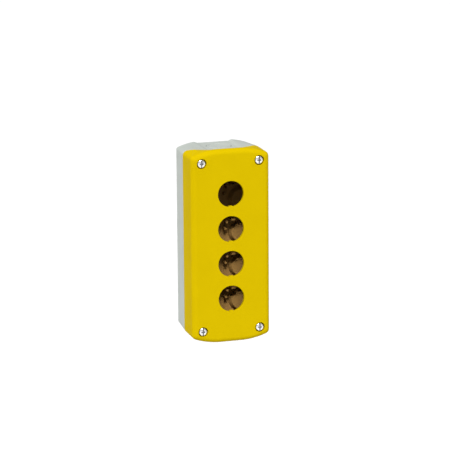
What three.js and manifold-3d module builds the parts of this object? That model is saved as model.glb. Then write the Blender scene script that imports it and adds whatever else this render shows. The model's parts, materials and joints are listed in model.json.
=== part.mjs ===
// Empty four-way control station enclosure: a yellow lid with four 22 mm control holes, screwed to a grey
// wall-mounted base. Millimetres, +Z up. The origin is the centre of the flat back.
// The front looks along -Y.

import * as THREE from 'three';
import { mergeVertices } from 'three/addons/utils/BufferGeometryUtils.js';
import Module from 'manifold-3d';

const wasm = await Module();
wasm.setup();

// Body
const BODY_WIDTH = 68;
const BODY_HEIGHT = 166;
const BODY_DEPTH = 53;
const WALL = 3;
const PART_GAP = 0.3;

// Outline seen from the front: straight sides, arched ends with a short flat middle, small corners
const ARCH_RADIUS = 62;
const ARCH_FLAT_HALF = 9;
const CORNER_RADIUS = 4.4;
const LEAST_CORNER = 0.8;
const CORNER_STEPS = 4;
const ARCH_STEPS = 8;
const FLAT_STEPS = 1;

// Lid
const LID_SIDE_DEPTH = 26.5;
const LID_END_DEPTH = 20;
const SWEEP_START = 24;
const SWEEP_END = 31;
const FRONT_FILLET = 4.3;
const FILLET_STEPS = 4;
const INNER_FILLET = 2;
const SCOOP_MIDDLE = 79.5;
const SCOOP_RISE = 1.4;
const SCOOP_REACH = 25;

// Control holes
const HOLE_COUNT = 4;
const HOLE_PITCH = 30;
const HOLE_RADIUS = 11.15;
const KEY_WIDTH = 3.6;
const KEY_HEIGHT = 0.9;
const ROUND_STEPS = 36;

// Lid screws, M4 x 25 with a retained washer
const SCREW_X = 25;
const SCREW_Z = 72.2;
const HEAD_RADIUS = 3.5;
const HEAD_HEIGHT = 2.6;
const HEAD_RECESS = 0.3;
const HEAD_DOME = 0.7;
const SHANK_RADIUS = 2;
const SHANK_LENGTH = 25;
const SHANK_TAPER = 0.7;
const NECK_RADIUS = 1.6;
const SLOT_WIDTH = 1.1;
const SLOT_DEPTH = 1.3;
const CROSS_LENGTH = 4.2;
const CROSS_DEPTH = 1.7;
const COUNTERBORE_RADIUS = 4.2;
const COUNTERBORE_DEPTH = 5.4;
const SHELF = 2.5;
const CLEARANCE_RADIUS = 2.4;
const SCREW_TRAVEL = 8.05;
const WASHER_THICKNESS = 1;
const WASHER_OUTER = 3.5;
const WASHER_INNER = 1.9;
const ORING_RADIUS = 2.9;
const ORING_SECTION = 0.75;

// Pillars and threaded inserts
const LID_PILLAR_RADIUS = 5.4;
const LID_PILLAR_HOLLOW = 3.8;
const BASE_PILLAR_RADIUS = 5;
const INSERT_OUTER = 3.1;
const INSERT_INNER = 2.3;
const INSERT_LENGTH = 9;
const INSERT_GROOVE = 0.4;
const TIP_HOLE_DEPTH = 6;

// Base
const BASE_TAPER = 2;
const BACK_EDGE = 1;
const RIM_LAND = 1.2;
const RIM_STEP = 2.2;
const FLOOR = 3;
const PAD_LEVEL = 79.4;
const PAD_HALF = 13.6;
const PAD_SLOPE = 0.41;
const ENTRY_RADIUS = 10.75;
const ENTRY_FROM_BACK = 19;
const KNOCKOUT_THICKNESS = 1.5;
const FIXING_Z = 66;
const FIXING_RADIUS = 2.4;
const FIXING_SINK_RADIUS = 4.2;
const FIXING_SINK_DEPTH = 1;

// Seats for contact blocks on the base floor, one set under each control hole
const SEAT_SHIFT = 15;
const BOSS_X = 22.3;
const BOSS_FOOT_RADIUS = 9.8;
const BOSS_RADIUS = 7.6;
const BOSS_HEIGHT = 4.5;
const BOSS_RIM = 1.4;
const BOSS_DISH = 0.3;
const PEG_X = 8.6;
const PEG_RADIUS = 1.1;
const PEGS = [{ drop: 3.8, height: 10.5 }, { drop: 10.6, height: 6 }];
const RIB_START = 11.8;
const RIB_END = 29.4;
const RIB_WIDTH = 1.6;
const RIB_HEIGHT = 5.5;
const RIB_DROP = 1.2;
const TAB_LENGTH = 3.6;
const TAB_HEIGHT = 12;
const SMALL_STEPS = 16;

const OVERRUN = 1;
const FRONT_Y = -BODY_DEPTH;
const SHELF_Y = FRONT_Y + COUNTERBORE_DEPTH;
const HEAD_UNDER_Y = FRONT_Y + HEAD_RECESS + HEAD_HEIGHT;
const WASHER_FRONT_Y = SHELF_Y + SHELF + PART_GAP + SCREW_TRAVEL;
const RIM_END_Y = FRONT_Y + LID_END_DEPTH;
const BASE_PILLAR_TOP_Y = RIM_END_Y - PART_GAP;
const LID_PILLAR_END_Y = BASE_PILLAR_TOP_Y - PART_GAP;
const INSERT_TOP_Y = BASE_PILLAR_TOP_Y + PART_GAP;

const CORNERS = [
  { name: 'top_left', x: -SCREW_X, z: SCREW_Z },
  { name: 'top_right', x: SCREW_X, z: SCREW_Z },
  { name: 'bottom_left', x: -SCREW_X, z: -SCREW_Z },
  { name: 'bottom_right', x: SCREW_X, z: -SCREW_Z },
];

const PAINTS = {
  yellow: { color: 0xdcbc06, roughness: 0.45, metalness: 0 },
  grey: { color: 0xbdc4bd, roughness: 0.55, metalness: 0 },
  rubber: { color: 0x1c1c1c, roughness: 0.85, metalness: 0 },
  zinc: { color: 0xd2d4d6, roughness: 0.3, metalness: 1 },
  nylon: { color: 0xe6e2d6, roughness: 0.6, metalness: 0 },
  brass: { color: 0xc39a4a, roughness: 0.35, metalness: 1 },
};

function smooth(t) {
  const clamped = Math.min(Math.max(t, 0), 1);
  return clamped * clamped * (3 - 2 * clamped);
}

function mix(a, b, t) {
  return a + (b - a) * t;
}

// Height of the arched end above the middle, at a distance x from the centre line.
function archHeight(x) {
  const past = Math.max(Math.abs(x) - ARCH_FLAT_HALF, 0);
  return BODY_HEIGHT / 2 - ARCH_RADIUS + Math.sqrt(ARCH_RADIUS ** 2 - past ** 2);
}

// How far the shallow hollow of each end lies below the arch, where lid and base meet.
function scoopDrop(x) {
  const scoop = SCOOP_MIDDLE + SCOOP_RISE * (x / SCOOP_REACH) ** 2;
  return Math.max(archHeight(x) - scoop, 0);
}

// The parting line lies nearer the front across the ends than along the sides.
function partingY(x) {
  const side = smooth((Math.abs(x) - SWEEP_START) / (SWEEP_END - SWEEP_START));
  return FRONT_Y + mix(LID_END_DEPTH, LID_SIDE_DEPTH, side);
}

// One quarter of the outline drawn in by an inset, from the side up to the middle of the end.
function quarterOutline(inset) {
  const radius = Math.max(CORNER_RADIUS - inset, LEAST_CORNER);
  const arch = ARCH_RADIUS - inset;
  const archZ = BODY_HEIGHT / 2 - ARCH_RADIUS;
  const cornerX = BODY_WIDTH / 2 - inset - radius;
  const cornerZ = archZ + Math.sqrt((arch - radius) ** 2 - (cornerX - ARCH_FLAT_HALF) ** 2);
  const turn = Math.atan2(cornerZ - archZ, cornerX - ARCH_FLAT_HALF);
  const points = [];
  for (let k = 0; k <= CORNER_STEPS; k++) {
    const angle = (turn * k) / CORNER_STEPS;
    points.push([cornerX + radius * Math.cos(angle), cornerZ + radius * Math.sin(angle)]);
  }
  for (let k = 1; k <= ARCH_STEPS; k++) {
    const angle = mix(turn, Math.PI / 2, k / ARCH_STEPS);
    points.push([ARCH_FLAT_HALF + arch * Math.cos(angle), archZ + arch * Math.sin(angle)]);
  }
  for (let k = 1; k <= FLAT_STEPS; k++) {
    points.push([ARCH_FLAT_HALF * (1 - k / FLAT_STEPS), archZ + arch]);
  }
  return points;
}

function outline(inset) {
  const quarter = quarterOutline(inset);
  const half = [...quarter, ...quarter.slice(0, -1).reverse().map(([x, z]) => [-x, z])];
  return [...half, ...half.slice().reverse().map(([x, z]) => [x, -z])];
}

// A closed ring round the body. yAt gives each point's depth, and drop says how much of the scoop it has.
function ring(inset, yAt, drop) {
  return outline(inset).map(([x, z]) => {
    const height = Math.abs(z) - drop * scoopDrop(x);
    return new THREE.Vector3(x, yAt(x), Math.sign(z) * height);
  });
}

function triangulateRing(points) {
  const flat = points.map((p) => new THREE.Vector2(p.x, p.z));
  return THREE.ShapeUtils.triangulateShape(flat, []);
}

function signedVolume(positions, triangles) {
  const at = (i) => new THREE.Vector3().fromArray(positions, i * 3);
  return triangles.reduce((sum, [a, b, c]) => sum + at(a).dot(at(b).cross(at(c))) / 6, 0);
}

// Skin through a list of equal rings. It is capped at both ends, or runs round into itself.
function loft(rings, endless = false) {
  const count = rings[0].length;
  const positions = rings.flat().flatMap((p) => [p.x, p.y, p.z]);
  const triangles = [];
  const bands = endless ? rings.length : rings.length - 1;
  for (let r = 0; r < bands; r++) {
    const here = r * count;
    const next = ((r + 1) % rings.length) * count;
    for (let k = 0; k < count; k++) {
      const after = (k + 1) % count;
      triangles.push([here + k, here + after, next + k]);
      triangles.push([here + after, next + after, next + k]);
    }
  }
  if (!endless) {
    const last = (rings.length - 1) * count;
    for (const [a, b, c] of triangulateRing(rings[0])) {
      triangles.push([a, c, b]);
    }
    for (const [a, b, c] of triangulateRing(rings[rings.length - 1])) {
      triangles.push([last + a, last + b, last + c]);
    }
  }
  const inward = signedVolume(positions, triangles) < 0;
  const ordered = triangles.map(([a, b, c]) => (inward ? [a, c, b] : [a, b, c]));
  const geometry = new THREE.BufferGeometry();
  geometry.setAttribute('position', new THREE.Float32BufferAttribute(positions, 3));
  geometry.setIndex(ordered.flat());
  return geometry;
}

function toSolid(geometry) {
  const bare = geometry.clone();
  bare.deleteAttribute('normal');
  bare.deleteAttribute('uv');
  const merged = mergeVertices(bare, 1e-4);
  const index = merged.index.array;
  const triangles = [];
  for (let k = 0; k < index.length; k += 3) {
    const [a, b, c] = [index[k], index[k + 1], index[k + 2]];
    if (a !== b && b !== c && c !== a) {
      triangles.push(a, b, c);
    }
  }
  return new wasm.Manifold(new wasm.Mesh({
    numProp: 3,
    vertProperties: new Float32Array(merged.attributes.position.array),
    triVerts: new Uint32Array(triangles),
  }));
}

function toGeometry(solid) {
  const mesh = solid.getMesh();
  const geometry = new THREE.BufferGeometry();
  geometry.setAttribute('position', new THREE.Float32BufferAttribute(mesh.vertProperties, 3));
  geometry.setIndex(Array.from(mesh.triVerts));
  geometry.computeVertexNormals();
  return geometry;
}

// Cylinder along Y between two depths.
function rod(radius, fromY, toY, x, z, steps = SMALL_STEPS) {
  const geometry = new THREE.CylinderGeometry(radius, radius, toY - fromY, steps);
  return toSolid(geometry.translate(x, (fromY + toY) / 2, z));
}

function block(width, depth, height, x, y, z) {
  return toSolid(new THREE.BoxGeometry(width, depth, height).translate(x, y, z));
}

// Solid of revolution about Y from a profile of [radius, y] points.
function turned(profile, x, z, steps = SMALL_STEPS) {
  const points = profile.map(([radius, y]) => new THREE.Vector2(radius, y));
  const geometry = new THREE.LatheGeometry(points, steps);
  const solid = toSolid(geometry.translate(x, 0, z));
  return solid;
}

function joined(solids) {
  return solids.reduce((whole, solid) => whole.add(solid));
}

function cut(whole, tools) {
  return tools.reduce((rest, tool) => rest.subtract(tool), whole);
}

const holeHeights = Array.from({ length: HOLE_COUNT }, (_, k) => ((HOLE_COUNT - 1) / 2 - k) * HOLE_PITCH);

// Control hole with a key tab standing into it at its lowest point.
function controlHole(z) {
  const bore = rod(HOLE_RADIUS, FRONT_Y - OVERRUN, FRONT_Y + WALL + OVERRUN, 0, z, ROUND_STEPS);
  const tabZ = z - HOLE_RADIUS;
  const tab = block(KEY_WIDTH, 3 * WALL, 2 * KEY_HEIGHT, 0, FRONT_Y + WALL / 2, tabZ);
  return bore.subtract(tab);
}

function lidShell() {
  const rings = [];
  for (let k = 0; k <= FILLET_STEPS; k++) {
    const angle = (Math.PI / 2) * (k / FILLET_STEPS);
    const y = FRONT_Y + FRONT_FILLET * (1 - Math.cos(angle));
    rings.push(ring(FRONT_FILLET * (1 - Math.sin(angle)), () => y, 0));
  }
  const edgeY = FRONT_Y + FRONT_FILLET;
  for (const t of [0.25, 0.5, 0.75, 1]) {
    rings.push(ring(0, (x) => mix(edgeY, partingY(x) - PART_GAP, t), smooth(t)));
  }
  const innerY = FRONT_Y + WALL + INNER_FILLET;
  for (const t of [1, 0.66, 0.33, 0]) {
    rings.push(ring(WALL, (x) => mix(innerY, partingY(x) - PART_GAP, t), smooth(t)));
  }
  rings.push(ring(WALL + INNER_FILLET * 0.3, () => FRONT_Y + WALL + INNER_FILLET * 0.3, 0));
  rings.push(ring(WALL + INNER_FILLET, () => FRONT_Y + WALL, 0));
  return toSolid(loft(rings));
}

function lid() {
  const pillars = CORNERS.map(({ x, z }) => rod(
    LID_PILLAR_RADIUS, FRONT_Y + WALL - OVERRUN, LID_PILLAR_END_Y, x, z,
  ));
  const screwHoles = CORNERS.flatMap(({ x, z }) => [
    rod(COUNTERBORE_RADIUS, FRONT_Y - OVERRUN, SHELF_Y, x, z),
    rod(CLEARANCE_RADIUS, SHELF_Y - OVERRUN, SHELF_Y + SHELF + OVERRUN, x, z),
    rod(LID_PILLAR_HOLLOW, SHELF_Y + SHELF, LID_PILLAR_END_Y + OVERRUN, x, z),
  ]);
  return cut(joined([lidShell(), ...pillars]), [...screwHoles, ...holeHeights.map(controlHole)]);
}

function baseShell() {
  const floorDrop = 0.45;
  const edge = BASE_TAPER + BACK_EDGE;
  return toSolid(loft([
    ring(edge, () => 0, 0),
    ring(BASE_TAPER + BACK_EDGE * 0.3, () => -BACK_EDGE * 0.3, 0),
    ring(BASE_TAPER, () => -BACK_EDGE, 0),
    ring(0, partingY, 1),
    ring(RIM_LAND, partingY, 1),
    ring(RIM_LAND, (x) => partingY(x) + RIM_STEP, 1),
    ring(WALL, (x) => partingY(x) + RIM_STEP, 1),
    ring(WALL + BASE_TAPER, () => -FLOOR, floorDrop),
  ]));
}

// Tool that cuts the flat pad with sloping sides round one cable entry.
function padCut(side) {
  const top = BODY_HEIGHT / 2 + OVERRUN;
  const topHalf = PAD_HALF + (top - PAD_LEVEL) / PAD_SLOPE;
  const shape = new THREE.Shape([
    new THREE.Vector2(-PAD_HALF, PAD_LEVEL),
    new THREE.Vector2(PAD_HALF, PAD_LEVEL),
    new THREE.Vector2(topHalf, top),
    new THREE.Vector2(-topHalf, top),
  ]);
  const length = BODY_DEPTH - LID_END_DEPTH + 2 * OVERRUN;
  const geometry = new THREE.ExtrudeGeometry(shape, { depth: length, bevelEnabled: false });
  geometry.rotateX(Math.PI / 2).translate(0, OVERRUN, 0);
  if (side < 0) {
    geometry.rotateY(Math.PI);
  }
  return toSolid(geometry);
}

function entryDisc(radius, thickness, side) {
  const geometry = new THREE.CylinderGeometry(radius, radius, thickness, ROUND_STEPS);
  geometry.rotateX(Math.PI / 2);
  return toSolid(geometry.translate(0, -ENTRY_FROM_BACK, side * (PAD_LEVEL - thickness / 2)));
}

function entryHole(side) {
  const through = 3 * WALL;
  const geometry = new THREE.CylinderGeometry(ENTRY_RADIUS, ENTRY_RADIUS, through, ROUND_STEPS);
  geometry.rotateX(Math.PI / 2);
  return toSolid(geometry.translate(0, -ENTRY_FROM_BACK, side * (PAD_LEVEL - WALL / 2)));
}

// Low conical boss with a shallow dish in its end.
function boss(x, z) {
  const top = -FLOOR - BOSS_HEIGHT;
  const below = -FLOOR + OVERRUN;
  const foot = BOSS_FOOT_RADIUS;
  const profile = [[0, top], [BOSS_RADIUS, top], [foot, -FLOOR], [foot, below], [0, below]];
  const dish = rod(BOSS_RADIUS - BOSS_RIM, top - OVERRUN, top + BOSS_DISH, x, z);
  return turned(profile, x, z).subtract(dish);
}

// Rib that stands on the floor, from near to far on one side of the middle.
function rib(side, near, far, height, z) {
  const y = -FLOOR - height / 2 + OVERRUN / 2;
  return block(far - near, height + OVERRUN, RIB_WIDTH, side * (near + far) / 2, y, z);
}

function blockSeats() {
  const solids = [];
  for (const side of [-1, 1]) {
    solids.push(boss(side * BOSS_X, holeHeights[0] + SEAT_SHIFT));
    for (const height of holeHeights) {
      solids.push(boss(side * BOSS_X, height - SEAT_SHIFT));
      for (const peg of PEGS) {
        const end = -FLOOR - peg.height;
        solids.push(rod(PEG_RADIUS, end, -FLOOR + OVERRUN, side * PEG_X, height - peg.drop, 12));
      }
      solids.push(rib(side, RIB_START, RIB_END, RIB_HEIGHT, height - RIB_DROP));
      solids.push(rib(side, RIB_START, RIB_START + TAB_LENGTH, TAB_HEIGHT, height - RIB_DROP));
    }
  }
  return solids;
}

function base() {
  const pillars = CORNERS.map(({ x, z }) => rod(
    BASE_PILLAR_RADIUS, BASE_PILLAR_TOP_Y, -FLOOR + OVERRUN, x, z,
  ));
  const insertEnd = INSERT_TOP_Y + INSERT_LENGTH + PART_GAP;
  const pillarHoles = CORNERS.flatMap(({ x, z }) => [
    rod(INSERT_OUTER + PART_GAP, BASE_PILLAR_TOP_Y - OVERRUN, insertEnd, x, z),
    rod(CLEARANCE_RADIUS, insertEnd - OVERRUN, insertEnd + TIP_HOLE_DEPTH, x, z),
  ]);
  const fixings = [-1, 1].flatMap((side) => [
    rod(FIXING_RADIUS, -FLOOR - OVERRUN, OVERRUN, 0, side * FIXING_Z),
    rod(FIXING_SINK_RADIUS, -FLOOR - OVERRUN, -FLOOR + FIXING_SINK_DEPTH, 0, side * FIXING_Z),
  ]);
  const ends = [-1, 1].flatMap((side) => [padCut(side), entryHole(side)]);
  return cut(joined([baseShell(), ...pillars, ...blockSeats()]), [...pillarHoles, ...fixings, ...ends]);
}

// Strip of foam rubber in the stepped rim of the base, under the rim of the lid.
function gasket() {
  const outer = RIM_LAND + PART_GAP;
  const inner = WALL - 0.1;
  const low = (x) => partingY(x) + RIM_STEP - PART_GAP;
  return toSolid(loft([
    ring(outer, partingY, 1),
    ring(inner, partingY, 1),
    ring(inner, low, 1),
    ring(outer, low, 1),
  ], true));
}

function screw(x, z) {
  const top = FRONT_Y + HEAD_RECESS;
  const tip = HEAD_UNDER_Y + SHANK_LENGTH;
  const neckStart = WASHER_FRONT_Y - PART_GAP;
  const neckEnd = WASHER_FRONT_Y + WASHER_THICKNESS + PART_GAP;
  const body = turned([
    [0, top],
    [HEAD_RADIUS * 0.6, top + HEAD_DOME * 0.2],
    [HEAD_RADIUS * 0.9, top + HEAD_DOME * 0.6],
    [HEAD_RADIUS, top + HEAD_DOME * 1.2],
    [HEAD_RADIUS, HEAD_UNDER_Y],
    [SHANK_RADIUS, HEAD_UNDER_Y],
    [SHANK_RADIUS, neckStart],
    [NECK_RADIUS, neckStart],
    [NECK_RADIUS, neckEnd],
    [SHANK_RADIUS, neckEnd],
    [SHANK_RADIUS, tip - SHANK_TAPER],
    [SHANK_RADIUS - SHANK_TAPER, tip],
    [0, tip],
  ], x, z);
  const slotMiddle = top + (SLOT_DEPTH - OVERRUN) / 2;
  const slot = block(SLOT_WIDTH, SLOT_DEPTH + OVERRUN, 3 * HEAD_RADIUS, x, slotMiddle, z);
  const crossY = top + (CROSS_DEPTH - OVERRUN) / 2;
  const across = block(CROSS_LENGTH, CROSS_DEPTH + OVERRUN, SLOT_WIDTH, x, crossY, z);
  const upright = block(SLOT_WIDTH, CROSS_DEPTH + OVERRUN, CROSS_LENGTH, x, crossY, z);
  return cut(body, [slot, across, upright]);
}

function oRing(x, z) {
  const geometry = new THREE.TorusGeometry(ORING_RADIUS, ORING_SECTION, 8, SMALL_STEPS);
  geometry.rotateX(Math.PI / 2);
  const y = (HEAD_UNDER_Y + SHELF_Y) / 2;
  return toSolid(geometry.translate(x, y, z));
}

function tube(outer, inner, fromY, toY, x, z) {
  return rod(outer, fromY, toY, x, z).subtract(rod(inner, fromY - OVERRUN, toY + OVERRUN, x, z));
}

function washer(x, z) {
  return tube(WASHER_OUTER, WASHER_INNER, WASHER_FRONT_Y, WASHER_FRONT_Y + WASHER_THICKNESS, x, z);
}

function insert(x, z) {
  const body = tube(INSERT_OUTER, INSERT_INNER, INSERT_TOP_Y, INSERT_TOP_Y + INSERT_LENGTH, x, z);
  const grooveY = INSERT_TOP_Y + INSERT_LENGTH / 2;
  const groove = tube(
    INSERT_OUTER + OVERRUN, INSERT_OUTER - INSERT_GROOVE,
    grooveY - INSERT_GROOVE, grooveY + INSERT_GROOVE,
    x, z,
  );
  return body.subtract(groove);
}

function meshOf(name, solid, paint) {
  const mesh = new THREE.Mesh(toGeometry(solid), new THREE.MeshStandardMaterial(PAINTS[paint]));
  mesh.name = name;
  return mesh;
}

const enclosure = new THREE.Group();
enclosure.add(meshOf('base', base(), 'grey'));
enclosure.add(meshOf('lid', lid(), 'yellow'));
enclosure.add(meshOf('lid_gasket', gasket(), 'rubber'));
for (const [name, side] of [['knockout_top', 1], ['knockout_bottom', -1]]) {
  enclosure.add(meshOf(name, entryDisc(ENTRY_RADIUS - PART_GAP, KNOCKOUT_THICKNESS, side), 'grey'));
}
for (const { name, x, z } of CORNERS) {
  enclosure.add(meshOf(`lid_screw_${name}`, screw(x, z), 'zinc'));
  enclosure.add(meshOf(`screw_seal_${name}`, oRing(x, z), 'rubber'));
  enclosure.add(meshOf(`retaining_washer_${name}`, washer(x, z), 'nylon'));
  enclosure.add(meshOf(`threaded_insert_${name}`, insert(x, z), 'brass'));
}

export default enclosure;
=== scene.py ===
"""Looks of an empty four-way push button enclosure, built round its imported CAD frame, in metres."""

import json
import math

import bmesh
import bpy
from mathutils import Matrix, Vector


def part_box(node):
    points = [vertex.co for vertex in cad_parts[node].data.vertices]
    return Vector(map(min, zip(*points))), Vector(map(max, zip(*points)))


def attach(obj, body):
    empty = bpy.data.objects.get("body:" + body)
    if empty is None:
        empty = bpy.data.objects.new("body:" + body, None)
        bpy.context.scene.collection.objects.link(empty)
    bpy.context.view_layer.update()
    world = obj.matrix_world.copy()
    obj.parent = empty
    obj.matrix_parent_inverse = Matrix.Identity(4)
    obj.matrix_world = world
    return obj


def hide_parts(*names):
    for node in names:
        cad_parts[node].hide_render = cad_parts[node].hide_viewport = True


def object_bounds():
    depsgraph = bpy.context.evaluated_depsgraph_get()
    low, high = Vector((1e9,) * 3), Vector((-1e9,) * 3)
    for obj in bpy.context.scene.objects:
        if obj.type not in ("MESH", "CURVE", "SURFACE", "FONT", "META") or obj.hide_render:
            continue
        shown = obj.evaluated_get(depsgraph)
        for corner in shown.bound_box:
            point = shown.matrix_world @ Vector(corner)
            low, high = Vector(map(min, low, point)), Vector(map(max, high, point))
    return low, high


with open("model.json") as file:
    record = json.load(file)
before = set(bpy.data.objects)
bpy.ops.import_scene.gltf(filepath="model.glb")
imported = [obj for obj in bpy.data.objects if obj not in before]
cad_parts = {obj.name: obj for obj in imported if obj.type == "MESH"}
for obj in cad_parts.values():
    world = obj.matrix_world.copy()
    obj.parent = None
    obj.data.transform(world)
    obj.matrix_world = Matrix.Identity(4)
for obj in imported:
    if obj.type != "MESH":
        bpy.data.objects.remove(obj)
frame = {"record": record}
CAD_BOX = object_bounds()

# Lengths below are in millimetres in the frame of the CAD, and MM turns them into metres.
MM = 0.001
LID_LOW, LID_HIGH = (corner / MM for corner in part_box("lid"))
BASE_LOW, BASE_HIGH = (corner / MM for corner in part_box("base"))
HALF_WIDTH = LID_HIGH.x
HALF_HEIGHT = LID_HIGH.z
FRONT = LID_LOW.y
LID_SIDE_END = LID_HIGH.y
RIM_END = BASE_LOW.y

WALL = 3.0
FLOOR = 3.0
# Clearance between neighbouring pieces, as in the CAD.
GAP = 0.3
# The ends are arches with a short straight stretch in their middle.
ARCH_RADIUS = 62.0
ARCH_FLAT = 9.0
CORNER_RADIUS = 4.4
LEAST_CORNER = 0.8
FRONT_FILLET = 4.3
# Behind the front fillet, each end dips to this scoop, which rises towards its sides.
SCOOP_MIDDLE = 79.5
SCOOP_RISE = 1.4
SCOOP_REACH = 25.0
# The parting line sweeps from the end's depth to the side's between these distances from the middle.
SWEEP_START = 24.0
SWEEP_END = 31.0
# The flat pad for the cable entry, and the slope on either side of it.
PAD_LEVEL = 79.4
PAD_HALF = 13.6
PAD_SLOPE = 0.41
PAD_ROUNDING = 0.5
BASE_TAPER = 2.0
BACK_EDGE = 1.0
RIM_EDGE = 0.25

CORNER_STEPS = 8
ARCH_STEPS = 56
SMOOTH_ANGLE = math.radians(32)

# A cutter reaches this far past the faces it cuts, and further in front of a rounded lip.
OVERRUN = 1
LIP_OVERRUN = 1.5
# Profiles of solid pieces start and end at this radius, since their end rings need some width.
AXIS = 0.01

HOLE_RADIUS = 11.15
HOLE_LIP = 0.45
KEY_HALF = 1.8
KEY_HEIGHT = 0.9
HOLE_HEIGHTS = sorted(
    (m["pos_m"][2] / MM for m in frame["record"]["mounts"] if m["name"].startswith("control_seat")),
    reverse=True,
)
CORNERS = ("top_left", "top_right", "bottom_left", "bottom_right")

ENTRY_RADIUS = 10.75
SHELF_FRONT = FRONT + 5.4
SHELF_BACK = SHELF_FRONT + 2.5
PILLAR_RADIUS = 5.0
BASE_PILLAR_TOP = RIM_END - GAP
LID_PILLAR_END = RIM_END - 2 * GAP

# The floor of the base: pieces that stand on it start at ROOT, inside it.
FLOOR_FACE = -FLOOR
ROOT = FLOOR_FACE + 1
SEAT_SHIFT = 15
BOSS_X = 22.3
PEG_X = 8.6
PEG_RADIUS = 1.1
# For each peg, how far below the middle of its hole it stands, and how tall it is.
PEGS = ((3.8, 10.5), (10.6, 6.0))
RIB_DROP = 1.2
RIB_HALF = 0.8
RIB_HEIGHT = 5.5
RIB_START = 11.8
RIB_END = 29.4
TAB_HEIGHT = 12
TAB_END = 15.4
FIXING_HEIGHT = 66

# A screw head is domed as far out as DOME_REACH, where it lies DOME_DEPTH behind its highest point.
HEAD_RADIUS = 3.5
HEAD_HEIGHT = 2.6
DOME_REACH = 0.8 * HEAD_RADIUS
DOME_DEPTH = 0.32
THREAD_PITCH = 0.7


def centre(node):
    low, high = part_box(node)
    return (low + high) / 2 / MM


def mix(a, b, t):
    return a + (b - a) * t


def smooth(t):
    t = min(max(t, 0.0), 1.0)
    return t * t * (3 - 2 * t)


def soft_min(a, b, width):
    """The lower of two heights, with their crossing rounded off."""
    t = min(max(0.5 + 0.5 * (b - a) / width, 0.0), 1.0)
    return mix(b, a, t) - width * t * (1 - t)


# ---------------------------------------------------------------- outline of the moulded body


def arch_height(x):
    """Height of the end at x, before the scoop and the pad are taken off."""
    past = max(abs(x) - ARCH_FLAT, 0.0)
    return HALF_HEIGHT - ARCH_RADIUS + math.sqrt(ARCH_RADIUS**2 - past**2)


def scoop_drop(x):
    """How far the scoop lies below the arch at x."""
    scoop = SCOOP_MIDDLE + SCOOP_RISE * (x / SCOOP_REACH) ** 2
    return max(arch_height(x) - scoop, 0.0)


def parting(x):
    """Depth of the rim of the base at x. The lid starts a gap in front of it."""
    return mix(RIM_END, LID_SIDE_END + GAP, smooth((abs(x) - SWEEP_START) / (SWEEP_END - SWEEP_START)))


def quarter_outline(inset):
    """One quarter of the outline drawn in by an inset, from the side up to just short of the middle."""
    radius = max(CORNER_RADIUS - inset, LEAST_CORNER)
    arch = ARCH_RADIUS - inset
    low = HALF_HEIGHT - ARCH_RADIUS
    corner_x = HALF_WIDTH - inset - radius
    corner_z = low + math.sqrt((arch - radius) ** 2 - (corner_x - ARCH_FLAT) ** 2)
    turn = math.atan2(corner_z - low, corner_x - ARCH_FLAT)
    points = []
    for k in range(CORNER_STEPS + 1):
        angle = turn * k / CORNER_STEPS
        points.append((corner_x + radius * math.cos(angle), corner_z + radius * math.sin(angle)))
    start = points[-1][0]
    for k in range(1, ARCH_STEPS):
        x = start * (1 - k / ARCH_STEPS)
        past = max(x - ARCH_FLAT, 0.0)
        points.append((x, low + math.sqrt(arch**2 - past**2)))
    return points, (0.0, low + arch)


def outline(inset):
    quarter, top = quarter_outline(inset)
    half = quarter + [top] + [(-x, z) for x, z in reversed(quarter)]
    return half + [(x, -z) for x, z in reversed(half)]


def ring(inset, depth_at, drop=0.0, pad=None):
    """A closed ring round the body. pad is how far the flat cable pad is drawn in, or None for no pad."""
    points = []
    for x, z in outline(inset):
        height = abs(z) - drop * scoop_drop(x)
        if pad is not None:
            level = PAD_LEVEL - pad + PAD_SLOPE * max(abs(x) - PAD_HALF, 0.0)
            height = soft_min(height, level, PAD_ROUNDING)
        points.append((x, depth_at(x), math.copysign(height, z)))
    return points


def quarter_turn(steps):
    return [math.pi / 2 * k / steps for k in range(steps + 1)]


# ---------------------------------------------------------------- mesh helpers


def new_object(name, mesh):
    made = bpy.data.objects.new(name, mesh)
    bpy.context.scene.collection.objects.link(made)
    return made


def loft(name, rings, endless=False):
    """Skin through equal rings, capped at both ends or running round into itself."""
    count = len(rings[0])
    verts = [Vector(p) * MM for one in rings for p in one]
    faces = []
    bands = len(rings) if endless else len(rings) - 1
    for r in range(bands):
        here = r * count
        ahead = (r + 1) % len(rings) * count
        for k in range(count):
            after = (k + 1) % count
            faces.append((here + k, here + after, ahead + after, ahead + k))
    if not endless:
        faces.append(tuple(reversed(range(count))))
        last = (len(rings) - 1) * count
        faces.append(tuple(range(last, last + count)))
    mesh = bpy.data.meshes.new(name)
    mesh.from_pydata(verts, [], faces)
    outward(mesh)
    return new_object(name, mesh)


def outward(mesh):
    """Turns every face of a closed mesh to point outwards."""
    work = bmesh.new()
    work.from_mesh(mesh)
    bmesh.ops.recalc_face_normals(work, faces=work.faces)
    if work.calc_volume(signed=True) < 0:
        bmesh.ops.reverse_faces(work, faces=work.faces)
    work.to_mesh(mesh)
    work.free()


def turned(name, profile, x, z, steps=64, radius_at=None, hollow=False):
    """Solid of revolution about Y from a profile of (radius, depth). radius_at may cut a thread or a knurl.

    A hollow one is ring-shaped, and its profile closes on itself. A solid one starts and ends at AXIS.
    """
    rings = []
    for radius, y in profile:
        one = []
        for k in range(steps):
            angle = 2 * math.pi * k / steps
            real = radius if radius_at is None else radius_at(radius, y, angle)
            one.append((x + real * math.cos(angle), y, z + real * math.sin(angle)))
        rings.append(one)
    return loft(name, rings, endless=hollow)


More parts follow.
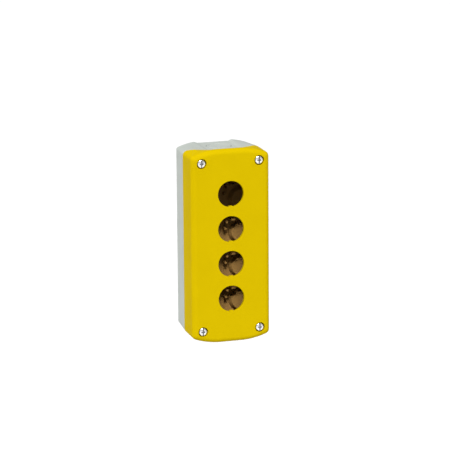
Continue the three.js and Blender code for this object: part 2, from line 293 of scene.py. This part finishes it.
def turned_upright(name, profile, x, y, side, steps=96):
    """Solid of revolution about Z from a profile of (radius, height), upside down where side is -1."""
    rings = []
    for radius, height in profile:
        one = []
        for k in range(steps):
            angle = 2 * math.pi * k / steps
            one.append((x + radius * math.cos(angle), y + radius * math.sin(angle), side * height))
        rings.append(one)
    return loft(name, rings)


def block(name, low, high):
    (x0, y0, z0), (x1, y1, z1) = low, high
    return loft(name, [
        [(x0, y, z0), (x1, y, z0), (x1, y, z1), (x0, y, z1)] for y in (y0, y1)
    ])


def join(pieces):
    """Makes one object of several that don't touch each other."""
    first, rest = pieces[0], pieces[1:]
    work = bmesh.new()
    for piece in pieces:
        work.from_mesh(piece.data)
    work.to_mesh(first.data)
    work.free()
    for piece in rest:
        mesh = piece.data
        bpy.data.objects.remove(piece)
        bpy.data.meshes.remove(mesh)
    return first


def combine(target, tool, operation):
    """Applies an exact boolean with a tool, which is then deleted."""
    modifier = target.modifiers.new("cut", "BOOLEAN")
    modifier.operation = operation
    modifier.solver = "EXACT"
    modifier.object = tool
    bpy.context.view_layer.update()
    evaluated = target.evaluated_get(bpy.context.evaluated_depsgraph_get())
    mesh = bpy.data.meshes.new_from_object(evaluated)
    target.modifiers.remove(modifier)
    old, target.data = target.data, mesh
    bpy.data.meshes.remove(old)
    tool_mesh = tool.data
    bpy.data.objects.remove(tool)
    bpy.data.meshes.remove(tool_mesh)
    return target


def cut(target, tool):
    return combine(target, tool, "DIFFERENCE")


def add(target, tool):
    return combine(target, tool, "UNION")


def finish_mesh(piece):
    """Smooth shading that keeps flat faces flat and creases sharp."""
    work = bmesh.new()
    work.from_mesh(piece.data)
    bmesh.ops.remove_doubles(work, verts=work.verts, dist=1e-7)
    bmesh.ops.dissolve_degenerate(work, dist=1e-7, edges=work.edges)
    work.to_mesh(piece.data)
    work.free()
    piece.data.shade_smooth()
    piece.data.set_sharp_from_angle(angle=SMOOTH_ANGLE)
    weigh = piece.modifiers.new("flat_faces", "WEIGHTED_NORMAL")
    weigh.mode = "FACE_AREA_WITH_ANGLE"
    weigh.keep_sharp = True
    weigh.weight = 60
    return piece


def lip(radius, at, edge, way):
    """Profile of a rounded rim on a hole, from in front of the face at depth `at` to the bore.

    It is made of (radius, depth) points, and way is the sign of the depth from the face into the hole.
    """
    points = [(radius + edge, at - way * LIP_OVERRUN)]
    for angle in quarter_turn(5):
        points.append((radius + edge * (1 - math.sin(angle)), at + way * edge * (1 - math.cos(angle))))
    return points


# ---------------------------------------------------------------- lid


def keyed_ring(z, grow, y):
    """Outline of a control hole with its key tab, drawn out by grow."""
    radius = HOLE_RADIUS + grow
    half = KEY_HALF - grow
    gap = math.asin(half / radius)
    steps = 72
    points = []
    for k in range(steps + 1):
        angle = -math.pi / 2 + gap + (2 * math.pi - 2 * gap) * k / steps
        points.append((radius * math.cos(angle), radius * math.sin(angle)))
    tip = HOLE_RADIUS - KEY_HEIGHT + grow
    lean, edge, edge_height = 0.05, 0.3, 0.25
    points.append((-half + lean, -tip - edge_height))
    points.append((-half + edge, -tip))
    points.append((half - edge, -tip))
    points.append((half - lean, -tip - edge_height))
    return [(x, y, z + height) for x, height in points]


def control_hole(z):
    """Cutter for a keyed control hole, with a rounded lip in front and a small chamfer inside."""
    inside, chamfer = FRONT + WALL, 0.2
    rings = [keyed_ring(z, HOLE_LIP, FRONT - OVERRUN)]
    for angle in quarter_turn(5):
        grow = HOLE_LIP * (1 - math.sin(angle))
        rings.append(keyed_ring(z, grow, FRONT + HOLE_LIP * (1 - math.cos(angle))))
    rings.append(keyed_ring(z, 0, inside - chamfer))
    rings.append(keyed_ring(z, chamfer, inside))
    rings.append(keyed_ring(z, chamfer, inside + OVERRUN))
    return loft("hole_tool", rings)


def screw_bore(x, z):
    """Cutter for a screw: recess for the head, hole through the shelf, and hollow pillar behind it."""
    recess, clearance, hollow = 4.2, 2.4, 3.8
    edge, chamfer = 0.2, 0.3
    profile = [(AXIS, FRONT - LIP_OVERRUN), *lip(recess, FRONT, 0.15, 1)]
    profile += [
        (recess, SHELF_FRONT),
        (clearance + edge, SHELF_FRONT),
        (clearance, SHELF_FRONT + edge),
        (clearance, SHELF_BACK),
        (hollow, SHELF_BACK),
        (hollow, LID_PILLAR_END - chamfer),
        (hollow + chamfer, LID_PILLAR_END),
        (hollow + chamfer, RIM_END + OVERRUN),
        (AXIS, RIM_END + OVERRUN),
    ]
    return turned("bore_tool", profile, x, z)


def lid_pillar(x, z):
    """Pillar that starts inside the front wall and has a flared foot."""
    radius, flare, flare_height, edge = 5.4, 0.4, 0.8, 0.3
    foot, sunk = FRONT + WALL, 0.7
    profile = [
        (AXIS, foot - sunk),
        (radius + flare, foot - sunk),
        (radius + flare, foot),
        (radius, foot + flare_height),
        (radius, LID_PILLAR_END - edge),
        (radius - edge, LID_PILLAR_END),
        (AXIS, LID_PILLAR_END),
    ]
    return turned("pillar", profile, x, z)


def lid_shell():
    """The moulded shell: rounded front, outer wall back to the rim, and inner wall forward again."""
    rings = []
    for angle in quarter_turn(9):
        y = FRONT + FRONT_FILLET * (1 - math.cos(angle))
        rings.append(ring(FRONT_FILLET * (1 - math.sin(angle)), lambda x, y=y: y))
    edge, steps = FRONT + FRONT_FILLET, 9
    for k in range(1, steps):
        t = k / steps
        rings.append(ring(0, lambda x, t=t: mix(edge, parting(x) - GAP, t), smooth(t)))
    for angle in quarter_turn(3):
        back = RIM_EDGE * (1 - math.sin(angle))
        rings.append(ring(RIM_EDGE * (1 - math.cos(angle)), lambda x, b=back: parting(x) - GAP - b, 1))
    fillet = 2
    inner = FRONT + WALL + fillet
    for k in range(steps + 1):
        t = 1 - k / steps
        rings.append(ring(WALL, lambda x, t=t: mix(inner, parting(x) - GAP, t), smooth(t)))
    for angle in quarter_turn(4)[1:]:
        y = inner - fillet * math.sin(angle)
        rings.append(ring(WALL + fillet * (1 - math.cos(angle)), lambda x, y=y: y))
    return loft("lid_moulding", rings)


def make_lid():
    piece = lid_shell()
    places = [centre(f"lid_screw_{name}") for name in CORNERS]
    add(piece, join([lid_pillar(p.x, p.z) for p in places]))
    tools = [screw_bore(p.x, p.z) for p in places] + [control_hole(z) for z in HOLE_HEIGHTS]
    cut(piece, join(tools))
    return finish_mesh(piece)


# ---------------------------------------------------------------- base


def base_shell():
    """The moulded shell: flat back, outer wall, stepped rim, and inner wall back to the floor."""
    rings = []
    for angle in quarter_turn(5):
        inset = BACK_EDGE * (1 - math.sin(angle))
        y = -BACK_EDGE * (1 - math.cos(angle))
        rings.append(ring(BASE_TAPER + inset, lambda x, y=y: y, 0, inset))
    steps = 12
    for k in range(1, steps):
        t = k / steps
        rings.append(ring(BASE_TAPER * (1 - t), lambda x, t=t: mix(-BACK_EDGE, parting(x), t), t, 0))
    land, step = 1.2, 2.2
    for angle in quarter_turn(3):
        inset = RIM_EDGE * (1 - math.cos(angle))
        back = RIM_EDGE * (1 - math.sin(angle))
        rings.append(ring(inset, lambda x, b=back: parting(x) + b, 1, inset))
    rings.append(ring(land, parting, 1, land))
    rings.append(ring(land, lambda x: parting(x) + step, 1, land))
    rings.append(ring(WALL, lambda x: parting(x) + step, 1))
    fillet, scoop_at_floor, wall_steps = 1.5, 0.45, 6
    for k in range(1, wall_steps + 1):
        t = k / wall_steps
        rings.append(ring(
            WALL + BASE_TAPER * t,
            lambda x, t=t: mix(parting(x) + step, FLOOR_FACE - fillet, t), mix(1, scoop_at_floor, t),
        ))
    for angle in quarter_turn(4)[1:]:
        inset = WALL + BASE_TAPER + fillet * (1 - math.cos(angle))
        y = FLOOR_FACE - fillet * (1 - math.sin(angle))
        rings.append(ring(inset, lambda x, y=y: y, scoop_at_floor))
    return loft("base_moulding", rings)


def post(name, x, z, radius, top, steps=64):
    """A round post on the floor of the base with a chamfered top."""
    edge = 0.3
    return turned(name, [
        (AXIS, ROOT), (radius, ROOT), (radius, top + edge), (radius - edge, top), (AXIS, top),
    ], x, z, steps)


def insert_bore(x, z):
    """Cutter for a threaded insert, and for the tip of its screw behind it."""
    wide, narrow, edge, mouth = 3.4, 2.4, 0.2, BASE_PILLAR_TOP
    insert_end, tip_end = mouth + 9.6, mouth + 15.6
    return turned("bore_tool", [
        (AXIS, mouth - OVERRUN), (wide + edge, mouth - OVERRUN), (wide + edge, mouth), (wide, mouth + edge),
        (wide, insert_end), (narrow, insert_end), (narrow, tip_end), (AXIS, tip_end),
    ], x, z)


def floor_boss(x, z):
    """Low conical boss with a shallow dish in its end."""
    foot, shoulder, dish, edge = 9.8, 7.6, 6.2, 0.3
    top = FLOOR_FACE - 4.5
    return turned("boss", [
        (AXIS, ROOT), (foot, ROOT), (foot, FLOOR_FACE), (shoulder + 0.2, top + edge), (shoulder - 0.1, top),
        (dish + 0.1, top), (dish - 0.1, top + edge), (AXIS, top + edge),
    ], x, z)


def cross_rib(side, z):
    """A rib across the floor, with a taller tab at its inner end."""
    low, high = FLOOR_FACE - RIB_HEIGHT, FLOOR_FACE - TAB_HEIGHT
    path = [
        (RIB_START, ROOT), (RIB_START, high), (TAB_END, high),
        (TAB_END, low), (RIB_END, low), (RIB_END, ROOT),
    ]
    return loft("rib", [[(side * x, y, level) for x, y in path] for level in (z - RIB_HALF, z + RIB_HALF)])


def block_seats():
    """Bosses, pegs and ribs on the floor, which contact blocks would sit on."""
    pieces = []
    for side in (-1, 1):
        for z in [HOLE_HEIGHTS[0] + SEAT_SHIFT] + [height - SEAT_SHIFT for height in HOLE_HEIGHTS]:
            pieces.append(floor_boss(side * BOSS_X, z))
        for height in HOLE_HEIGHTS:
            for drop, tall in PEGS:
                top = FLOOR_FACE - tall
                pieces.append(post("peg", side * PEG_X, height - drop, PEG_RADIUS, top, steps=24))
            pieces.append(cross_rib(side, height - RIB_DROP))
    return join(pieces)


def fixing_hole(x, z):
    """Cutter for a wall fixing hole, with a sunk seat for the head of its screw."""
    radius, sink, seat = 2.4, 4.2, ROOT
    profile = [(AXIS, LIP_OVERRUN), *lip(radius, 0, 0.4, -1)]
    profile += [(radius, seat), (sink, seat), (sink, FLOOR_FACE - OVERRUN), (AXIS, FLOOR_FACE - OVERRUN)]
    return turned("fixing_tool", profile, x, z)


def entry_tool(side):
    """Cutter for the round cable entry through an end wall."""
    depth, edge = 6, 0.3
    low = PAD_LEVEL - depth
    rim = lip(ENTRY_RADIUS, PAD_LEVEL, edge, -1)
    profile = [(AXIS, rim[0][1]), *rim, (ENTRY_RADIUS, low), (AXIS, low)]
    return turned_upright("entry_tool", profile, 0, centre("knockout_top").y, side)


def make_base():
    piece = base_shell()
    places = [centre(f"lid_screw_{name}") for name in CORNERS]
    add(piece, join([post("pillar", p.x, p.z, PILLAR_RADIUS, BASE_PILLAR_TOP) for p in places]))
    add(piece, block_seats())
    tools = [insert_bore(p.x, p.z) for p in places]
    tools += [fixing_hole(0, side * FIXING_HEIGHT) for side in (-1, 1)]
    tools += [entry_tool(side) for side in (-1, 1)]
    cut(piece, join(tools))
    return finish_mesh(piece)


def make_knockout(node, side):
    """Round knock-out with a shallow groove inside its rim and a dimple for the punch."""
    middle = centre(node)
    radius, top, thickness = ENTRY_RADIUS - GAP, PAD_LEVEL, 1.5
    bottom, foot_edge, rim_edge = top - thickness, 0.2, 0.25
    groove_outer, groove_inner, groove_slope, groove = radius - 1.3, radius - 2.5, 0.2, top - 0.25
    dimple_rim, dimple_floor, dimple_edge_depth, dimple_depth = 2.2, 1.4, 0.4, 0.5
    profile = [
        (AXIS, bottom), (radius - foot_edge, bottom), (radius, bottom + foot_edge),
        (radius, top - rim_edge), (radius - rim_edge, top),
        (groove_outer, top), (groove_outer - groove_slope, groove),
        (groove_inner + groove_slope, groove), (groove_inner, top),
        (dimple_rim, top), (dimple_floor, top - dimple_edge_depth), (AXIS, top - dimple_depth),
    ]
    return finish_mesh(turned_upright(node + "_disc", profile, middle.x, middle.y, side))


# ---------------------------------------------------------------- small parts


def make_gasket():
    """Rubber strip in the stepped rim of the base, with its crown just short of the rim of the lid."""
    outer, inner, short_of_lid = 1.5, 2.9, 0.03
    near, far = mix(outer, inner, 0.3), mix(outer, inner, 0.7)
    crown, back, edge = short_of_lid - GAP, 1.9, 0.15
    section = [
        (outer, edge), (near, crown), (far, crown), (inner, edge),
        (inner, back - edge), (far, back), (near, back), (outer, back - edge),
    ]
    rings = [ring(inset, lambda x, d=depth: parting(x) + d, 1) for inset, depth in section]
    return finish_mesh(loft("gasket_strip", rings, endless=True))


def dome_drop(radius):
    """How far the domed face of a screw head lies behind its highest point."""
    return DOME_DEPTH * (radius / DOME_REACH) ** 2


def neck_span(name):
    """Depths between which a screw has its neck, a gap longer than the washer at each end."""
    low, high = (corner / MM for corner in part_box(f"retaining_washer_{name}"))
    return low.y - GAP, high.y + GAP


def make_screw(name):
    """Captive screw: domed head, threaded shank, and a plain neck where the retaining washer sits."""
    place = centre(f"lid_screw_{name}")
    low, high = (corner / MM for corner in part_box(f"lid_screw_{name}"))
    x, z, top, tip = place.x, place.z, low.y, high.y
    under = top + HEAD_HEIGHT
    shank, neck, thread_depth, step = 2.0, 1.6, 0.32, 0.1
    shoulder, under_edge = ((0.93, 0.55), (0.985, 0.8), (1, 1.1)), 0.15
    thread_start, thread_end, shank_end = under + 2, tip - 0.3, tip - 0.7
    neck_start, neck_end = neck_span(name)

    def thread(radius, y, angle):
        if radius != shank or not thread_start < y < thread_end:
            return radius
        phase = (y / THREAD_PITCH + angle / (2 * math.pi)) % 1
        return radius - thread_depth * abs(2 * phase - 1)

    profile, dome_steps = [(AXIS, top)], 6
    for k in range(1, dome_steps + 1):
        radius = DOME_REACH * k / dome_steps
        profile.append((radius, top + dome_drop(radius)))
    profile += [(HEAD_RADIUS * share, top + depth) for share, depth in shoulder]
    profile += [(HEAD_RADIUS, under - under_edge), (HEAD_RADIUS - under_edge, under), (shank, under)]
    profile += [(shank, under + step * k) for k in range(1, int((neck_start - under) / step))]
    profile += [(shank, neck_start), (neck, neck_start + step), (neck, neck_end - step), (shank, neck_end)]
    profile += [(shank, neck_end + step * k) for k in range(1, int((shank_end - neck_end) / step))]
    profile += [(shank - 0.1, tip - 0.6), (shank - 0.7, tip), (AXIS, tip)]
    piece = turned(f"screw_{name}", profile, x, z, 48, thread)
    slot_half, slot_depth, arm = 0.5, 1.5, 1.7
    past, arm_half = HEAD_RADIUS + LIP_OVERRUN, slot_half * 1.15
    slot_low = (x - slot_half, top - OVERRUN, z - past)
    cut(piece, block("slot", slot_low, (x + slot_half, top + slot_depth, z + past)))
    cut(piece, cross_arm(x, z, top, arm, arm_half))
    cut(piece, cross_arm(x, z, top, arm_half, arm))
    return finish_mesh(piece)


def cross_arm(x, z, top, half_wide, half_high):
    """Cutter for one arm pair of a cross recess. It narrows inwards, and most along its length."""
    rings = []
    depth = 1.9
    for y, scale in ((top - OVERRUN, 1.25), (top + depth, 0.55)):
        slight = mix(1, scale, 0.25)
        w = half_wide * (scale if half_wide > half_high else slight)
        h = half_high * (scale if half_high > half_wide else slight)
        rings.append([(x - w, y, z - h), (x + w, y, z - h), (x + w, y, z + h), (x - w, y, z + h)])
    return loft("cross", rings)


def paint_recess_shade(piece, name, material):
    """Gives the slot and cross of a screw head a darker copy of the zinc: painted shade in the driver
    recess.
    """
    reach, depth, skin = 3.3, 2.4, 0.15
    place = centre(f"lid_screw_{name}")
    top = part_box(f"lid_screw_{name}")[0].y / MM
    piece.data.materials.append(material)
    for face in piece.data.polygons:
        middle = face.center / MM
        away = math.hypot(middle.x - place.x, middle.z - place.z)
        sunk = top + dome_drop(away) + skin < middle.y < top + depth
        face.material_index = 1 if sunk and away < reach else 0


def make_seal(name):
    """O-ring under a screw head."""
    place = centre(f"screw_seal_{name}")
    middle, section, steps = 2.9, 0.75, 16
    profile = []
    for k in range(steps):
        angle = 2 * math.pi * k / steps
        profile.append((middle + section * math.cos(angle), place.y + section * math.sin(angle)))
    return finish_mesh(turned(f"o_ring_{name}", profile, place.x, place.z, hollow=True))


def make_washer(name):
    """Retaining washer round the neck of a screw."""
    place = centre(f"retaining_washer_{name}")
    inner, outer, half, edge = 1.9, 3.5, 0.5, 0.15
    low, high = place.y - half, place.y + half
    profile = [
        (inner, low + 0.1), (inner + 0.1, low), (outer - edge, low), (outer, low + edge),
        (outer, high - edge), (outer - edge, high), (inner + 0.1, high), (inner, high - 0.1),
    ]
    return finish_mesh(turned(f"washer_{name}", profile, place.x, place.z, hollow=True))


def make_insert(name):
    """Knurled brass insert with a plain groove round its middle and a thread inside."""
    place = centre(f"threaded_insert_{name}")
    outer, inner, half, groove = 3.1, 2.3, 4.5, 0.5
    knurls, lean, knurl_depth, thread_depth = 16, 3, 0.12, 0.2
    band_rings, band_step, thread_rings, thread_step = 17, 0.2, 85, 0.1
    low, high = place.y - half, place.y + half

    def surface(radius, y, angle):
        if radius == inner:
            phase = (y / THREAD_PITCH + angle / (2 * math.pi)) % 1
            return radius + thread_depth * abs(2 * phase - 1)
        if radius == outer:
            return radius - knurl_depth * abs(math.sin(knurls * angle + lean * y)) - 0.08
        return radius

    profile = [(inner + 0.3, low), (outer - 0.3, low), (outer - 0.2, low + 0.3)]
    profile += [(outer, low + 0.4 + band_step * k) for k in range(band_rings)]
    profile += [(outer - groove, place.y - 0.4), (outer - groove, place.y + 0.4)]
    profile += [(outer, place.y + 0.6 + band_step * k) for k in range(band_rings)]
    profile += [(outer - 0.2, high - 0.3), (outer - 0.3, high), (inner + 0.3, high)]
    profile += [(inner, high - 0.3 - thread_step * k) for k in range(thread_rings)]
    return finish_mesh(turned(f"insert_{name}", profile, place.x, place.z, 96, surface, hollow=True))


# ---------------------------------------------------------------- materials


class Nodes:
    """Short calls for building one node material."""

    def __init__(self, name):
        self.material = bpy.data.materials.new(name)
        self.material.use_nodes = True
        self.tree = self.material.node_tree
        self.shader = next(n for n in self.tree.nodes if n.type == "BSDF_PRINCIPLED")
        self.place = self.new("ShaderNodeTexCoord").outputs["Object"]

    def new(self, kind, **settings):
        node = self.tree.nodes.new(kind)
        for key, value in settings.items():
            setattr(node, key, value)
        return node

    def link(self, source, target):
        self.tree.links.new(source, target)

    def stretched(self, scale, turn=(0, 0, 0)):
        node = self.new("ShaderNodeMapping")
        node.inputs["Scale"].default_value = scale
        node.inputs["Rotation"].default_value = turn
        self.link(self.place, node.inputs["Vector"])
        return node.outputs["Vector"]

    def noise(self, scale, detail=3.0, roughness=0.5, vector=None):
        node = self.new("ShaderNodeTexNoise")
        node.inputs["Scale"].default_value = scale
        node.inputs["Detail"].default_value = detail
        node.inputs["Roughness"].default_value = roughness
        self.link(vector or self.place, node.inputs["Vector"])
        return node.outputs["Fac"]

    def spread(self, source, low, high, to_low, to_high):
        node = self.new("ShaderNodeMapRange")
        for key, value in zip(("From Min", "From Max", "To Min", "To Max"), (low, high, to_low, to_high)):
            node.inputs[key].default_value = value
        self.link(source, node.inputs["Value"])
        return node.outputs["Result"]

    def math(self, operation, a, b):
        node = self.new("ShaderNodeMath", operation=operation)
        for socket, value in zip(node.inputs, (a, b)):
            if isinstance(value, (int, float)):
                socket.default_value = value
            else:
                self.link(value, socket)
        return node.outputs["Value"]

    def blend(self, factor, a, b):
        node = self.new("ShaderNodeMix", data_type="RGBA")
        self.link(factor, node.inputs["Factor"])
        for socket, value in zip((node.inputs[6], node.inputs[7]), (a, b)):
            if isinstance(value, tuple):
                socket.default_value = (*value, 1)
            else:
                self.link(value, socket)
        return node.outputs[2]

    def edges(self, radius):
        """1 on convex edges and creases, 0 on plain faces."""
        bevel = self.new("ShaderNodeBevel", samples=4)
        bevel.inputs["Radius"].default_value = radius
        geometry = self.new("ShaderNodeNewGeometry")
        dot = self.new("ShaderNodeVectorMath", operation="DOT_PRODUCT")
        self.link(bevel.outputs["Normal"], dot.inputs[0])
        self.link(geometry.outputs["Normal"], dot.inputs[1])
        return self.spread(dot.outputs["Value"], 0.98, 0.75, 0, 1)

    def bump(self, height, distance, strength):
        node = self.new("ShaderNodeBump")
        node.inputs["Strength"].default_value = strength
        node.inputs["Distance"].default_value = distance
        self.link(height, node.inputs["Height"])
        self.link(node.outputs["Normal"], self.shader.inputs["Normal"])

    def put(self, **values):
        for key, value in values.items():
            socket = self.shader.inputs[key.replace("_", " ")]
            if isinstance(value, (int, float)):
                socket.default_value = value
            else:
                self.link(value, socket)


def moulded_plastic(name, colour, deep, wear_and_highlight, gloss, grain, shine, refraction=1.45):
    """Injection moulded plastic: cloudy colour, fine spark-eroded grain, faint scuffs, and convex edges
    painted lighter, partly as rubbed wear and partly as a painted highlight.
    """
    m = Nodes(name)
    clouds = m.spread(m.noise(scale=38, detail=4), 0.3, 0.7, 0, 1)
    base = m.blend(clouds, colour, deep)
    specks = m.spread(m.noise(scale=900, detail=2), 0.62, 0.8, 0, 0.25)
    base = m.blend(specks, base, deep)
    along = m.stretched((1, 1, 0.08), (0.2, 0.35, 0.5))
    scuffs = m.spread(m.noise(scale=240, detail=5, roughness=0.65, vector=along), 0.66, 0.74, 0, 0.3)
    # Convex edges are painted lighter: rubbed wear, and also a painted highlight along the edges.
    rubbed_and_highlit = m.math("MULTIPLY", m.edges(0.0006), m.spread(m.noise(scale=160, detail=4), 0.42, 0.6, 0, 0.5))
    base = m.blend(m.math("MAXIMUM", scuffs, rubbed_and_highlit), base, wear_and_highlight)
    rough = m.spread(m.noise(scale=70, detail=4), 0.3, 0.7, gloss - 0.05, gloss + 0.06)
    rough = m.math("SUBTRACT", rough, m.math("MULTIPLY", rubbed_and_highlit, 0.12))
    m.put(Base_Color=base, Roughness=rough)
    m.shader.inputs["Specular IOR Level"].default_value = shine
    m.shader.inputs["IOR"].default_value = refraction
    m.bump(m.noise(scale=grain, detail=3, roughness=0.6), distance=0.00004, strength=0.5)
    return m.material


def rubber():
    m = Nodes("black_rubber")
    dust = m.spread(m.noise(scale=300, detail=5), 0.5, 0.75, 0, 0.5)
    m.put(Base_Color=m.blend(dust, (0.018, 0.018, 0.019), (0.06, 0.058, 0.055)))
    m.put(Roughness=m.spread(m.noise(scale=500, detail=3), 0.3, 0.7, 0.62, 0.85))
    m.bump(m.noise(scale=2400, detail=3), distance=0.00003, strength=0.6)
    return m.material


def plated_metal(name, colour, tarnish, gloss):
    """Turned metal with fine machining lines and small dull spots."""
    m = Nodes(name)
    spots = m.spread(m.noise(scale=700, detail=5), 0.55, 0.75, 0, 0.6)
    m.put(Base_Color=m.blend(spots, colour, tarnish))
    turning = m.noise(scale=1500, detail=3, vector=m.stretched((1, 6, 1)))
    m.put(Roughness=m.spread(turning, 0.3, 0.7, gloss - 0.06, gloss + 0.1))
    m.put(Metallic=1.0)
    m.bump(turning, distance=0.00001, strength=0.5)
    return m.material


def nylon():
    m = Nodes("natural_nylon")
    shade = m.spread(m.noise(scale=400, detail=4), 0.35, 0.7, 0, 1)
    m.put(Base_Color=m.blend(shade, (0.72, 0.7, 0.6), (0.6, 0.57, 0.47)))
    m.put(Roughness=m.spread(m.noise(scale=600, detail=3), 0.3, 0.7, 0.45, 0.6))
    m.put(Subsurface_Weight=0.15)
    m.shader.inputs["Subsurface Radius"].default_value = (0.001, 0.0009, 0.0007)
    m.bump(m.noise(scale=1800, detail=3), distance=0.00002, strength=0.5)
    return m.material


def paint_shade_inside(piece, material):
    """Gives the faces of the base inside its walls a darker, brownish copy of the grey plastic: painted
    shade, tinted like light bounced off the yellow lid. The cable entries stay grey.
    """
    side_slack, end_slack, rim_slack, floor_slack = 0.05, 0.1, 0.5, 0.1
    end_zone, facing = PAD_LEVEL - 3.2, 0.3
    piece.data.materials.append(material)
    for face in piece.data.polygons:
        middle = face.center / MM
        height = abs(middle.z)
        between_sides = abs(middle.x) < HALF_WIDTH - WALL + side_slack
        between_ends = height < arch_height(middle.x) - WALL + end_slack
        covered = RIM_END - rim_slack < middle.y < FLOOR_FACE + floor_slack
        faces_middle = face.normal.z * math.copysign(1, middle.z) < -facing
        inside = between_sides and between_ends and covered and (height < end_zone or faces_middle)
        face.material_index = 1 if inside else 0


def dress(piece, material, body, slot, *nodes):
    """Gives a piece its material and the body it moves with, and hides the CAD nodes it stands for. The
    slot is not used.
    """
    piece.data.materials.clear()
    piece.data.materials.append(material)
    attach(piece, body)
    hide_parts(*nodes)


# ---------------------------------------------------------------- stage, light and camera


def direction(azimuth, elevation):
    """Unit vector towards a place around the object. Azimuth 0 is in front, and 90 is on its right."""
    azimuth, elevation = math.radians(azimuth), math.radians(elevation)
    level = math.cos(elevation)
    return Vector((math.sin(azimuth) * level, -math.cos(azimuth) * level, math.sin(elevation)))


def make_camera():
    azimuth, elevation, roll = -17.0, 13.55, -0.42
    target = Vector((2.7, FRONT / 2, 12.4)) * MM
    distance = 2.2
    back = direction(azimuth, elevation)
    right = Vector((math.cos(math.radians(azimuth)), math.sin(math.radians(azimuth)), 0))
    turn = Matrix((right, back.cross(right), back)).transposed().to_4x4()
    data = bpy.data.cameras.new("camera")
    data.sensor_width = 36.0
    data.lens = 208.3
    data.clip_start = 0.05
    camera = bpy.data.objects.new("camera", data)
    place = Matrix.Translation(target + back * distance)
    camera.matrix_world = place @ turn @ Matrix.Rotation(math.radians(roll), 4, "Z")
    bpy.context.scene.collection.objects.link(camera)
    bpy.context.scene.camera = camera


def make_floor():
    """A wide pale floor some way below the object, which makes the white background."""
    half, drop = 14.0, 0.75
    level = CAD_BOX[0].z - drop
    corners = [(-half, -half, level), (half, -half, level), (half, half, level), (-half, half, level)]
    mesh = bpy.data.meshes.new("floor")
    mesh.from_pydata(corners, [], [(0, 1, 2, 3)])
    floor = new_object("floor", mesh)
    m = Nodes("pale_floor")
    clouds = m.noise(scale=3, detail=3)
    m.put(Base_Color=m.blend(clouds, (0.62, 0.62, 0.62), (0.66, 0.66, 0.66)), Roughness=0.9)
    floor.data.materials.append(m.material)


def stand_lamp(name, lamp, towards, distance):
    stand = bpy.data.objects.new(name, lamp)
    turn = towards.to_track_quat("Z", "Y").to_matrix().to_4x4()
    stand.matrix_world = Matrix.Translation(towards * distance) @ turn
    bpy.context.scene.collection.objects.link(stand)


def distant_lamp(name, aside, rise, strength, spread):
    """A far lamp, placed by how far it stands aside and above for each metre in front."""
    lamp = bpy.data.lights.new(name, "SUN")
    lamp.energy = strength
    lamp.angle = math.radians(spread)
    stand_lamp(name, lamp, Vector((aside, -1, rise)).normalized(), distance=3)


def softbox(name, towards, distance, width, height, power):
    """A rectangular lamp aimed at the middle of the object."""
    lamp = bpy.data.lights.new(name, "AREA")
    lamp.shape = "RECTANGLE"
    lamp.size, lamp.size_y, lamp.energy = width, height, power
    stand_lamp(name, lamp, towards, distance)


def make_lights():
    """A level row of far lamps stands in for one wide, low softbox. Two softboxes fill the side and top."""
    world = bpy.data.worlds.new("studio")
    bpy.context.scene.world = world
    world.use_nodes = True
    background = world.node_tree.nodes["Background"]
    background.inputs["Color"].default_value = (1, 1, 1, 1)
    background.inputs["Strength"].default_value = 0.5
    lamps, leftmost, spacing = 5, -0.53, 0.11
    for k in range(lamps):
        distant_lamp(f"key_{k}", aside=leftmost + spacing * k, rise=1.085, strength=1.0, spread=3.0)
    softbox("side_fill", direction(-122, 12), distance=2.0, width=1.2, height=1.6, power=23)
    softbox("top_fill", direction(190, 80), distance=1.8, width=1.6, height=1.0, power=5)
    bpy.context.scene.view_settings.view_transform = "Standard"
    bpy.context.scene.view_settings.look = "None"


make_camera()
make_floor()
make_lights()

yellow = moulded_plastic(
    "yellow_plastic", colour=(0.4, 0.287, 0.0005), deep=(0.385, 0.275, 0.0004), wear_and_highlight=(0.48, 0.36, 0.01),
    gloss=0.45, grain=1900, shine=0.5, refraction=1.03,
)
grey = moulded_plastic(
    "grey_plastic", colour=(0.3, 0.322, 0.298), deep=(0.285, 0.308, 0.284), wear_and_highlight=(0.37, 0.385, 0.37),
    gloss=0.55, grain=1600, shine=0.3,
)
# A darker, brownish copy of the grey plastic for the inside of the base: painted shade, tinted like light
# bounced off the yellow lid.
inner = moulded_plastic(
    "inside_painted_shade", colour=(0.3, 0.17, 0.052), deep=(0.26, 0.145, 0.042), wear_and_highlight=(0.36, 0.22, 0.08),
    gloss=0.6, grain=1400, shine=0.1,
)
black = rubber()
zinc = plated_metal("zinc_plate", colour=(0.86, 0.86, 0.88), tarnish=(0.6, 0.6, 0.62), gloss=0.24)
# A darker copy of the zinc for the screw recesses: painted shade.
zinc_painted_shade = plated_metal("zinc_painted_shade", colour=(0.34, 0.34, 0.36), tarnish=(0.2, 0.2, 0.21), gloss=0.5)
brass = plated_metal("turned_brass", colour=(0.72, 0.5, 0.2), tarnish=(0.45, 0.3, 0.12), gloss=0.3)
milky = nylon()

dress(make_lid(), yellow, "lid_body", "yellow_lid", "lid")
base = make_base()
dress(base, grey, "base_body", "grey_base", "base")
# Paints the inside of the base with painted shade.
paint_shade_inside(base, inner)
dress(make_gasket(), black, "base_body", "black_rubber", "lid_gasket")
for node, side in (("knockout_top", 1), ("knockout_bottom", -1)):
    dress(make_knockout(node, side), grey, "base_body", "grey_base", node)
for corner in CORNERS:
    screw = make_screw(corner)
    dress(screw, zinc, f"screw_body_{corner}", "zinc_screw", f"lid_screw_{corner}")
    paint_recess_shade(screw, corner, zinc_painted_shade)
    dress(make_seal(corner), black, f"seal_body_{corner}", "black_rubber", f"screw_seal_{corner}")
    dress(make_washer(corner), milky, f"seal_body_{corner}", "nylon_washer", f"retaining_washer_{corner}")
    dress(make_insert(corner), brass, "base_body", "brass_insert", f"threaded_insert_{corner}")
